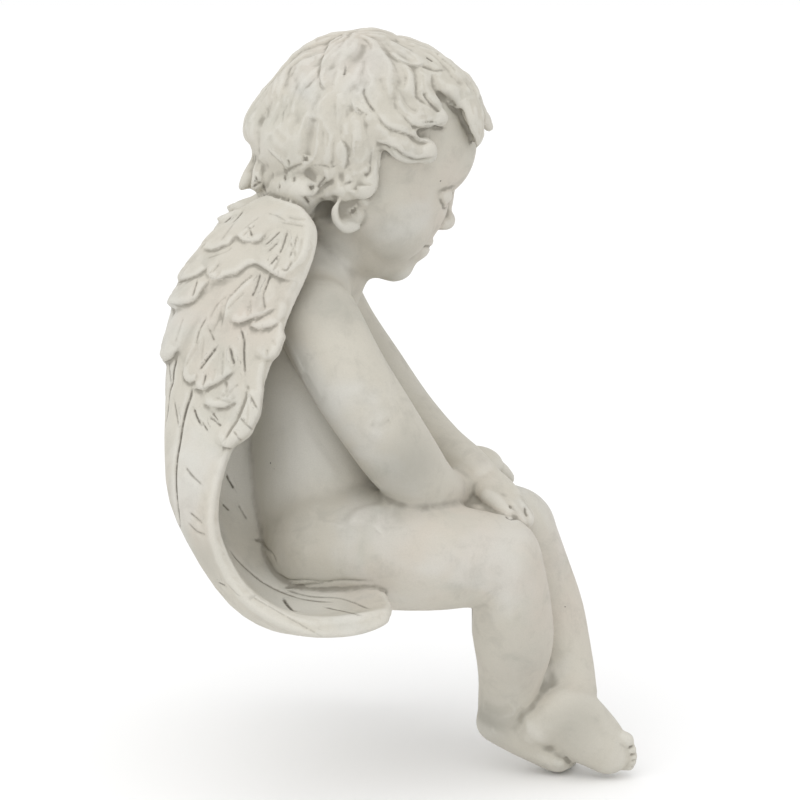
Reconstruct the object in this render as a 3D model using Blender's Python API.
"""A child angel that sits on the edge of a shelf with its legs hanging over, cast in one piece.

+X is where the angel faces, +Y its left and +Z up. The origin is on the flat underside of the seat,
which rests on the shelf. The figure is drawn in units of 1/298 of its height from toe to crown.
"""

import math
import random

import bmesh
import bpy
from mathutils import Matrix, Vector

FIGURE_HEIGHT = 0.298
UNITS_IN_HEIGHT = 298
UNIT = FIGURE_HEIGHT / UNITS_IN_HEIGHT

WING_THICKNESS = 0.0065
EVEN_SPACING = 0.07
FEATHER_RISE = 0.0040
LONG_FEATHER_RISE = 0.0030
LOCK_WIDTH = 6.4
LOCK_DEPTH = 5.0
LOCK_WAVE = 4.5

VOXEL = 0.0014
SMOOTH_PASSES = 2
TRIANGLES = 9500

SHELF_EDGE = 52.5

HEAD_CENTRE = (13, 0, 175)
HEAD_PITCH = 20
HEAD_TURN = 10
HEAD_TILT = -3
LOCK_SEED = 4

# Body stations from seat to neck: x, y, z, half width across, half depth front to back.
TORSO = (
    (-8, 0, 11, 38.5, 25.5),
    (-8, 0, 29, 41.5, 29),
    (-8, 0, 50, 37, 30),
    (-11, 0, 74, 33, 27),
    (-15, 0, 97, 33, 23),
    (-14, 0, 113, 32, 19),
    (-8, 0, 126, 22, 17),
)
LAP = ((-6, 0, 20, 20, 18), (24, -2, 17, 16, 15), (50, -9, 17, 12, 13))
NECK = ((-10, 0, 117, 20, 17), (-2, 0, 134, 17, 16), (6, 0, 150, 17, 18))

# Limb stations: x, y, z, half width, half depth. Right is the side at -Y.
RIGHT_THIGH = ((-4, -24, 24, 26.5, 25.5), (16, -31, 22, 23.5, 23.5), (38, -33, 20, 21.5, 21.5), (62, -29, 18, 18, 17.5))
RIGHT_SHIN = (
    (63, -29, 17, 16.5, 17),
    (67, -26, 0, 16.5, 16.5),
    (69, -23, -17, 15.5, 16),
    (68, -18, -33, 12.5, 13),
    (66, -15, -46, 10, 11),
)
LEFT_THIGH = ((-5, 24, 26, 28, 27), (16, 27, 24, 25, 25), (40, 20, 23, 22.5, 22.5), (69, 11, 20, 19, 19))
LEFT_SHIN = (
    (70, 10, 18, 17, 18.5),
    (77, 8, 3, 16.5, 17),
    (84, 4, -13, 15, 15.5),
    (90, -3, -30, 12, 12.5),
    (93, -9, -42, 10, 11),
)
RIGHT_ARM = (
    (-8, -36, 114, 15.5, 16.5),
    (3, -43, 94, 15, 16),
    (15, -43, 75, 14.5, 15.5),
    (27, -38, 58, 14, 14.5),
    (39, -26, 45, 11.5, 11.5),
    (50, -8, 38, 9, 9),
)
LEFT_ARM = (
    (-10, 36, 115, 16, 17),
    (-2, 43, 98, 15.5, 17),
    (11, 44, 80, 15, 16),
    (25, 36, 64, 13.5, 14),
    (40, 20, 53, 11, 11.5),
    (53, 3, 47, 9, 9),
)

# Hands: palm stations, then knuckles and finger tips.
RIGHT_PALM = ((49, -6, 38, 8, 8), (53, 6, 42, 10, 7), (57, 17, 44, 11, 5.5))
RIGHT_FINGERS = (
    ((49, 22, 44), (50, 32, 37), 4.0),
    ((54, 23, 45), (57, 34, 37), 4.2),
    ((59, 21, 44), (63, 31, 36), 4.2),
    ((61, 17, 43), (65, 25, 35), 3.8),
    ((47, 4, 43), (42, 15, 43), 4.4),
)
LEFT_PALM = ((55, 3, 48, 8, 8), (60, -6, 44, 10, 7), (65, -13, 41, 11, 5.5))
LEFT_FINGERS = (
    ((59, -19, 39), (63, -31, 36), 4.0),
    ((63, -19, 39), (69, -32, 35), 4.2),
    ((68, -17, 40), (75, -29, 34), 4.2),
    ((73, -12, 39), (80, -22, 34), 3.8),
    ((57, 3, 44), (66, 4, 38), 4.0),
)

RIGHT_FOOT = ((64, -13, -52, 9.5, 9), (75, -12, -58, 10.5, 10), (88, -11, -67, 12, 8.5))
RIGHT_TOES = (
    ((90, -2, -68), (98, -2, -72), 4.6),
    ((91, -8, -69), (97, -8, -73), 3.6),
    ((90, -13, -69), (96, -14, -73), 3.3),
    ((87, -18, -69), (92, -19, -72), 3.1),
    ((84, -21, -67), (88, -23, -70), 2.9),
)
LEFT_FOOT = ((76, -22, -51, 9.5, 10), (91, -17, -50, 12, 14), (103, -17, -58, 12.5, 12), (109, -18, -66, 12, 7.5))
LEFT_TOES = (
    ((109, -27, -66), (116, -28, -68), 5.2),
    ((110, -20, -68), (119, -21, -68), 3.9),
    ((110, -14, -67), (119, -14, -67), 3.6),
    ((108, -9, -66), (116, -8, -66), 3.3),
    ((106, -5, -65), (113, -3, -65), 3.0),
)

# Head forms: forward, left and up from the head's centre, then their half sizes. Infant proportions:
# the eyes lie below half way up the head, with full cheeks, a short nose and a small chin.
SKULL = (-1, 0, 8, 40, 35, 36)
HEAD_FORMS = (
    (5, 0, -12, 31, 31, 32),
    (14, 0, 10, 25, 29, 26),
    (13, 14, -23, 17, 16, 17),
    (13, -14, -23, 17, 16, 17),
    (22, 0, -38, 9, 11, 8),
    (8, 0, -32, 21, 22, 16),
    (26, 0, -29, 9, 11, 8),
)
NOSE = ((33, 0, -8, 4, 4), (36, 0, -14, 4.5, 4.5), (38, 0, -19, 5.5, 4))
EAR = (-3, 36, -18, 8, 3.5, 11)

# Locks: bearing from the face and height above the head's middle, in degrees, from the crown to the
# tip, then how far the tip stands off the head. The first set is on the right, and mirrored.
MIDDLE_LOCKS = (
    (((0, 84), (-2, 58), (-9, 40), (-2, 21)), 5),
    (((180, 60), (176, 34), (184, 6), (178, -20)), 8),
    (((180, 20), (184, -8), (176, -30), (182, -47)), 15),
)
SIDE_LOCKS = (
    (((-30, 78), (-22, 58), (-30, 36), (-12, 10)), 4),
    (((-60, 72), (-55, 52), (-62, 38), (-42, 30)), 5),
    (((-75, 60), (-82, 40), (-66, 26), (-34, 20)), 2),
    (((-95, 66), (-98, 36), (-92, 16), (-50, 8)), 3),
    (((-112, 48), (-106, 24), (-112, 4), (-88, -16)), 2),
    (((-108, 18), (-98, 2), (-104, -14), (-80, -28)), 2),
    (((-125, 62), (-120, 34), (-128, 6), (-108, -26)), 3),
    (((-128, 12), (-122, -10), (-124, -26), (-104, -36)), 4),
    (((-142, 52), (-146, 22), (-136, -6), (-142, -34)), 5),
    (((-150, 14), (-142, -12), (-150, -32), (-136, -46)), 9),
    (((-160, 66), (-164, 36), (-156, 8), (-164, -20)), 7),
    (((-166, 16), (-158, -10), (-168, -32), (-160, -47)), 13),
)

# Wing sections, from the shoulder to the tip: inner edge, bulge and outer edge of the right wing.
WING_SECTIONS = (
    ((-23, -16, 160), (-32, -26, 168), (-12, -36, 158)),
    ((-27, -12, 155), (-46, -30, 163), (-7, -44, 149)),
    ((-31, -10, 142), (-71, -36, 142), (-9, -53, 136)),
    ((-33, -10, 124), (-89, -42, 123), (-17, -58, 118)),
    ((-35, -12, 105), (-94, -46, 102), (-23, -62, 102)),
    ((-36, -13, 85), (-91, -50, 83), (-30, -65, 84)),
    ((-36, -14, 66), (-86, -54, 64), (-40, -68, 67)),
    ((-35, -16, 49), (-80, -56, 45), (-44, -72, 51)),
    ((-32, -19, 35), (-65, -57, 24), (-43, -76, 37)),
    ((-26, -25, 20), (-47, -58, 5), (-35, -80, 21)),
    ((-17, -32, 11), (-33, -61, -2), (-24, -83, 12)),
    ((-7, -38, 9), (-18, -64, -2), (-11, -84, 7)),
    ((4, -45, 9), (1, -66, 0), (2, -82, 6)),
    ((12, -51, 10), (14, -66, 3), (14, -76, 7)),
    ((20, -58, 10), (21, -64, 7), (21, -69, 9)),
)
WING_ROOT = ((-18, -17, 150, 12, 14), (-25, -17, 128, 14, 18), (-29, -15, 106, 12, 14))

# Rows of short feathers: where each row starts along the wing, its count, and a feather's length and width.
COVERT_ROWS = (
    (0.005, 4, 24, 19),
    (0.055, 5, 28, 19),
    (0.105, 6, 28, 18),
    (0.155, 6, 30, 18),
    (0.210, 6, 32, 17),
    (0.255, 6, 34, 17),
)
# Long feathers: where each starts along and across the wing, its length and width.
LONG_FEATHERS = (
    (0.30, 0.16, 110, 20),
    (0.31, 0.36, 134, 18),
    (0.32, 0.56, 158, 18),
    (0.33, 0.76, 176, 18),
    (0.34, 0.95, 176, 14),
    (0.27, 0.99, 32, 16),
)


def blend(points, t):
    """A point of the smooth curve through the points, at t from 0 to 1."""
    spans = len(points) - 1
    place = min(max(t, 0.0), 1.0) * spans
    i = min(int(place), spans - 1)
    f = place - i
    p0, p1, p2, p3 = (points[min(max(k, 0), spans)] for k in (i - 1, i, i + 1, i + 2))
    return tuple(
        0.5 * (2 * b + (c - a) * f + (2 * a - 5 * b + 4 * c - d) * f * f + (3 * b - a - 3 * c + d) * f**3)
        for a, b, c, d in zip(p0, p1, p2, p3)
    )


def skin(bm, rings, first, last):
    """Closes rings of points, with a point before the first ring and one after the last."""
    loops = [[bm.verts.new(p) for p in ring] for ring in rings]
    for lower, upper in zip(loops, loops[1:]):
        for i in range(len(lower)):
            j = (i + 1) % len(lower)
            bm.faces.new((lower[i], lower[j], upper[j], upper[i]))
    for loop, end, turn in ((loops[0], bm.verts.new(first), 1), (loops[-1], bm.verts.new(last), -1)):
        for i in range(len(loop)):
            j = (i + 1) % len(loop)
            bm.faces.new((end, loop[j], loop[i])[::turn])


def limb(bm, stations, side=(0, 1, 0), hub=None, around=28, steps=7, end_rings=5):
    """A round, tapering form through the stations, with domed ends.

    Side is where its width lies. With a hub, its depth points away from that centre instead.
    """
    count = steps * (len(stations) - 1)
    path = [blend(stations, k / count) for k in range(count + 1)]
    centres = [Vector(p[:3]) * UNIT for p in path]
    rings = []
    for k, (centre, p) in enumerate(zip(centres, path)):
        tangent = (centres[min(k + 1, count)] - centres[max(k - 1, 0)]).normalized()
        depth = tangent.cross(Vector(side)).normalized()
        width = depth.cross(tangent).normalized()
        if hub is not None:
            width = tangent.cross(centre - hub).normalized()
            depth = width.cross(tangent)
        slices = [(0.0, 1.0)]
        if k in (0, count):
            domes = [(math.sin(a), math.cos(a)) for a in (i * math.pi / 2 / end_rings for i in range(end_rings))]
            slices = [(-s, c) for s, c in domes[::-1]] if k == 0 else domes
        reach = 0.5 * (p[3] + p[4]) * UNIT
        for along, share in slices:
            ring = []
            for i in range(around):
                a = 2 * math.pi * i / around
                across = width * (p[3] * UNIT * math.cos(a)) + depth * (p[4] * UNIT * math.sin(a))
                ring.append(centre + tangent * (along * reach) + across * share)
            rings.append(ring)
        if k == 0:
            first = centre - tangent * reach
        if k == count:
            last = centre + tangent * reach
    skin(bm, rings, first, last)


def finger(bm, start, end, radius):
    """A finger or a toe between two points."""
    limb(bm, ((*start, radius, radius), (*end, radius * 0.9, radius * 0.9)), side=(0.3, 0.8, 0.5), around=12, steps=2)


def egg(bm, form, place=Matrix.Identity(4)):
    """An ellipsoid from its centre and half sizes, in the frame that place gives."""
    centre, half = Vector(form[:3]) * UNIT, [h * UNIT for h in form[3:]]
    shape = place @ Matrix.Translation(centre) @ Matrix.Diagonal((*half, 1))
    bmesh.ops.create_uvsphere(bm, u_segments=28, v_segments=18, radius=1.0, matrix=shape)


def head_frame():
    """The frame of the head: forward, left and up from its centre."""
    turn = Matrix.Rotation(math.radians(HEAD_TURN), 4, "Z")
    pitch = Matrix.Rotation(math.radians(HEAD_PITCH), 4, "Y")
    tilt = Matrix.Rotation(math.radians(HEAD_TILT), 4, "X")
    return Matrix.Translation(Vector(HEAD_CENTRE) * UNIT) @ turn @ pitch @ tilt


def add_body(bm):
    limb(bm, TORSO, around=28)
    limb(bm, NECK)
    limb(bm, LAP)
    for stations in (RIGHT_THIGH, LEFT_THIGH, RIGHT_SHIN, LEFT_SHIN, RIGHT_ARM, LEFT_ARM):
        limb(bm, stations)
    for palm in (RIGHT_PALM, LEFT_PALM):
        limb(bm, palm, side=(1, 0.2, 0))
    for foot in (RIGHT_FOOT, LEFT_FOOT):
        limb(bm, foot)
    for start, end, radius in RIGHT_FINGERS + LEFT_FINGERS + RIGHT_TOES + LEFT_TOES:
        finger(bm, start, end, radius)


def placed(station, place):
    """A station moved into the frame that place gives."""
    return (*(place @ (Vector(station[:3]) * UNIT) / UNIT), *station[3:])


def scalp_point(bearing, height, lift):
    """A point above the scalp, in the head's own frame."""
    a, h = math.radians(bearing), math.radians(height)
    way = Vector((math.cos(a) * math.cos(h), math.sin(a) * math.cos(h), math.sin(h)))
    reach = 1 / math.sqrt(sum((w / r) ** 2 for w, r in zip(way, SKULL[3:])))
    return Vector(SKULL[:3]) + way * (reach + lift)


def lock(bm, points, tip_lift, size, place, phase):
    """One wavy lock of hair from the crown to its tip."""
    stations = []
    count = 10
    for k in range(count + 1):
        t = k / count
        bearing, height = blend(points, t)
        sway = LOCK_WAVE * t * math.sin(2 * math.pi * (1.3 * t + phase))
        bearing += sway / max(math.cos(math.radians(height)), 0.3)
        swell = math.sin(math.pi * (0.16 + 0.80 * t)) ** 0.6 * size
        lift = 0.4 + tip_lift * t**2.6
        point = scalp_point(bearing, height, lift)
        stations.append(placed((*point, LOCK_WIDTH * swell, LOCK_DEPTH * swell), place))
    limb(bm, stations, hub=place.translation, around=14, steps=2, end_rings=3)


def add_hair(bm, place):
    chance = random.Random(LOCK_SEED)
    for points, tip_lift in MIDDLE_LOCKS:
        lock(bm, points, tip_lift, 1.1, place, chance.random())
    for points, tip_lift in SIDE_LOCKS:
        phase = chance.random()
        lock(bm, points, tip_lift, 1.0, place, phase)
        shift = chance.uniform(-5, 5)
        mirrored = [(-bearing + shift * height / 60, height + 0.4 * shift) for bearing, height in points]
        lock(bm, mirrored, tip_lift, chance.uniform(0.9, 1.05), place, 0.5 - phase)


def add_head(bm):
    place = head_frame()
    egg(bm, SKULL, place)
    for form in HEAD_FORMS:
        egg(bm, form, place)
    for side in (1, -1):
        f, s, u, *half = EAR
        egg(bm, (f, s * side, u, *half), place)
    limb(bm, [placed(station, place) for station in NOSE])
    add_hair(bm, place)


def wing_point(u, v, side):
    """A point of the wing's middle surface: u from shoulder to tip, v from inner to outer edge."""
    inner, bulge, outer = (blend([s[i] for s in WING_SECTIONS], u) for i in range(3))
    v -= EVEN_SPACING * math.sin(2 * math.pi * v)
    x, y, z = (a * (1 - v) ** 2 + 2 * b * v * (1 - v) + c * v * v for a, b, c in zip(inner, bulge, outer))
    return Vector((x, -side * y, z)) * UNIT


def wing_frame(u, v, side):
    """The point, the way out of the wing's back, and the ways along and across it."""
    step = 0.01
    point = wing_point(u, v, side)
    along = (wing_point(u + step, v, side) - wing_point(u - step, v, side)).normalized()
    across = (wing_point(u, min(v + step, 1), side) - wing_point(u, max(v - step, 0), side)).normalized()
    out = across.cross(along).normalized() * side
    return point, out, along, across


def feather(bm, side, u, v, length, width, root_rise, tip_rise, edge):
    """A leaf shaped feather on the wing's back, that starts at u, v and lifts towards its tip.

    Edge is the height of its sides as a share of the height along its middle.
    """
    step = 0.01
    per_u = (wing_point(u + step, v, side) - wing_point(u - step, v, side)).length / (2 * step)
    per_v = (wing_point(u, v, side) - wing_point(u, v - step, side)).length / step
    count, half_ring, widest = max(12, round(length / 5)), 8, 1 - 0.6 * width / length
    rings = []
    for k in range(count + 1):
        t = math.sin(0.5 * math.pi * k / count)
        wide = 0.5 * width * UNIT * (0.7 + 0.3 * t / widest)
        if t > widest:
            wide = 0.5 * width * UNIT * math.sqrt(max(1 - ((t - widest) / (1 - widest)) ** 2, 0.01))
        top, under = [], []
        for i in range(half_ring + 1):
            s = 2 * i / half_ring - 1
            at_u = min(u + t * length * UNIT / per_u, 0.985)
            at_v = min(max(v + s * wide / per_v, 0.0), 1.02)
            point, out, _, _ = wing_frame(at_u, at_v, side)
            crown = edge + (1 - edge) * math.sqrt(1 - 0.95 * s * s)
            rise = root_rise + (tip_rise - root_rise) * t
            top.append(point + out * (WING_THICKNESS / 2 + rise * crown))
            under.append(point - out * 0.001)
        rings.append(top + under[::-1])
    first = sum(rings[0], Vector()) / len(rings[0])
    last = sum(rings[-1], Vector()) / len(rings[-1])
    skin(bm, rings, first, last)


def add_wing(bm, side):
    rows, columns = 44, 14
    half = WING_THICKNESS / 2
    outline = []
    for r in range(rows + 1):
        u = r / rows
        front, back = [], []
        for c in range(columns + 1):
            v = c / columns
            point, out, _, _ = wing_frame(u, v, side)
            edge = math.sqrt(max(1 - abs(2 * v - 1) ** 8, 0.02))
            front.append(point + out * half * edge)
            back.append(point - out * half * edge)
        outline.append(front + back[::-1])
    first = sum(outline[0], Vector()) / len(outline[0])
    last = sum(outline[-1], Vector()) / len(outline[-1])
    skin(bm, outline, first, last)
    limb(bm, [(x, -side * y, z, a, b) for x, y, z, a, b in WING_ROOT])
    for u, v, length, width in LONG_FEATHERS:
        feather(bm, side, u, v, length, width, LONG_FEATHER_RISE, LONG_FEATHER_RISE, 0.0)
    for row, (u, count, length, width) in enumerate(COVERT_ROWS):
        for i in range(count):
            v = 1.0 - (i + 0.5 * (row % 2)) / count
            feather(bm, side, u, v, length, width, 0.1 * FEATHER_RISE, FEATHER_RISE, 0.25)


def shelf_cutter():
    """The space below and behind the shelf's front edge: it trims the seat flat."""
    bm = bmesh.new()
    reach = UNITS_IN_HEIGHT
    centre = Vector((SHELF_EDGE - reach / 2, 0, -reach / 2)) * UNIT
    size = Vector((reach, 2 * reach, reach)) * UNIT
    bmesh.ops.create_cube(bm, size=1, matrix=Matrix.Translation(centre) @ Matrix.Diagonal((*size, 1)))
    cutter = new_object("shelf_cutter", bm)
    cutter.hide_render = True
    cutter.display_type = "WIRE"
    return cutter


def new_object(name, bm):
    bmesh.ops.recalc_face_normals(bm, faces=bm.faces)
    mesh = bpy.data.meshes.new(name)
    bm.to_mesh(mesh)
    bm.free()
    mesh.shade_smooth()
    made = bpy.data.objects.new(name, mesh)
    bpy.context.scene.collection.objects.link(made)
    return made


def face_count(made):
    """The faces of an object with its modifiers, counted as triangles."""
    bpy.context.view_layer.update()
    mesh = made.evaluated_get(bpy.context.evaluated_depsgraph_get()).data
    mesh.calc_loop_triangles()
    return len(mesh.loop_triangles)


def cast_resin():
    """Pale stone coloured resin."""
    material = bpy.data.materials.new("cast_resin")
    material.use_nodes = True
    shader = material.node_tree.nodes["Principled BSDF"]
    shader.inputs["Base Color"].default_value = (0.60, 0.58, 0.51, 1)
    shader.inputs["Roughness"].default_value = 0.62
    return material


def angel():
    bm = bmesh.new()
    add_body(bm)
    add_head(bm)
    for side in (1, -1):
        add_wing(bm, side)
    made = new_object("angel", bm)
    made.data.materials.append(cast_resin())
    fuse = made.modifiers.new("one casting", "REMESH")
    fuse.mode = "VOXEL"
    fuse.voxel_size = VOXEL
    fuse.use_smooth_shade = True
    soften = made.modifiers.new("soft joins", "SMOOTH")
    soften.factor = 0.5
    soften.iterations = SMOOTH_PASSES
    share_kept = min(TRIANGLES / face_count(made), 1.0)
    reduce = made.modifiers.new("fewer faces", "DECIMATE")
    reduce.ratio = share_kept
    trim = made.modifiers.new("flat seat", "BOOLEAN")
    trim.operation = "DIFFERENCE"
    trim.object = shelf_cutter()
    return made


def main():
    for old in list(bpy.data.objects):
        bpy.data.objects.remove(old)
    angel()


main()
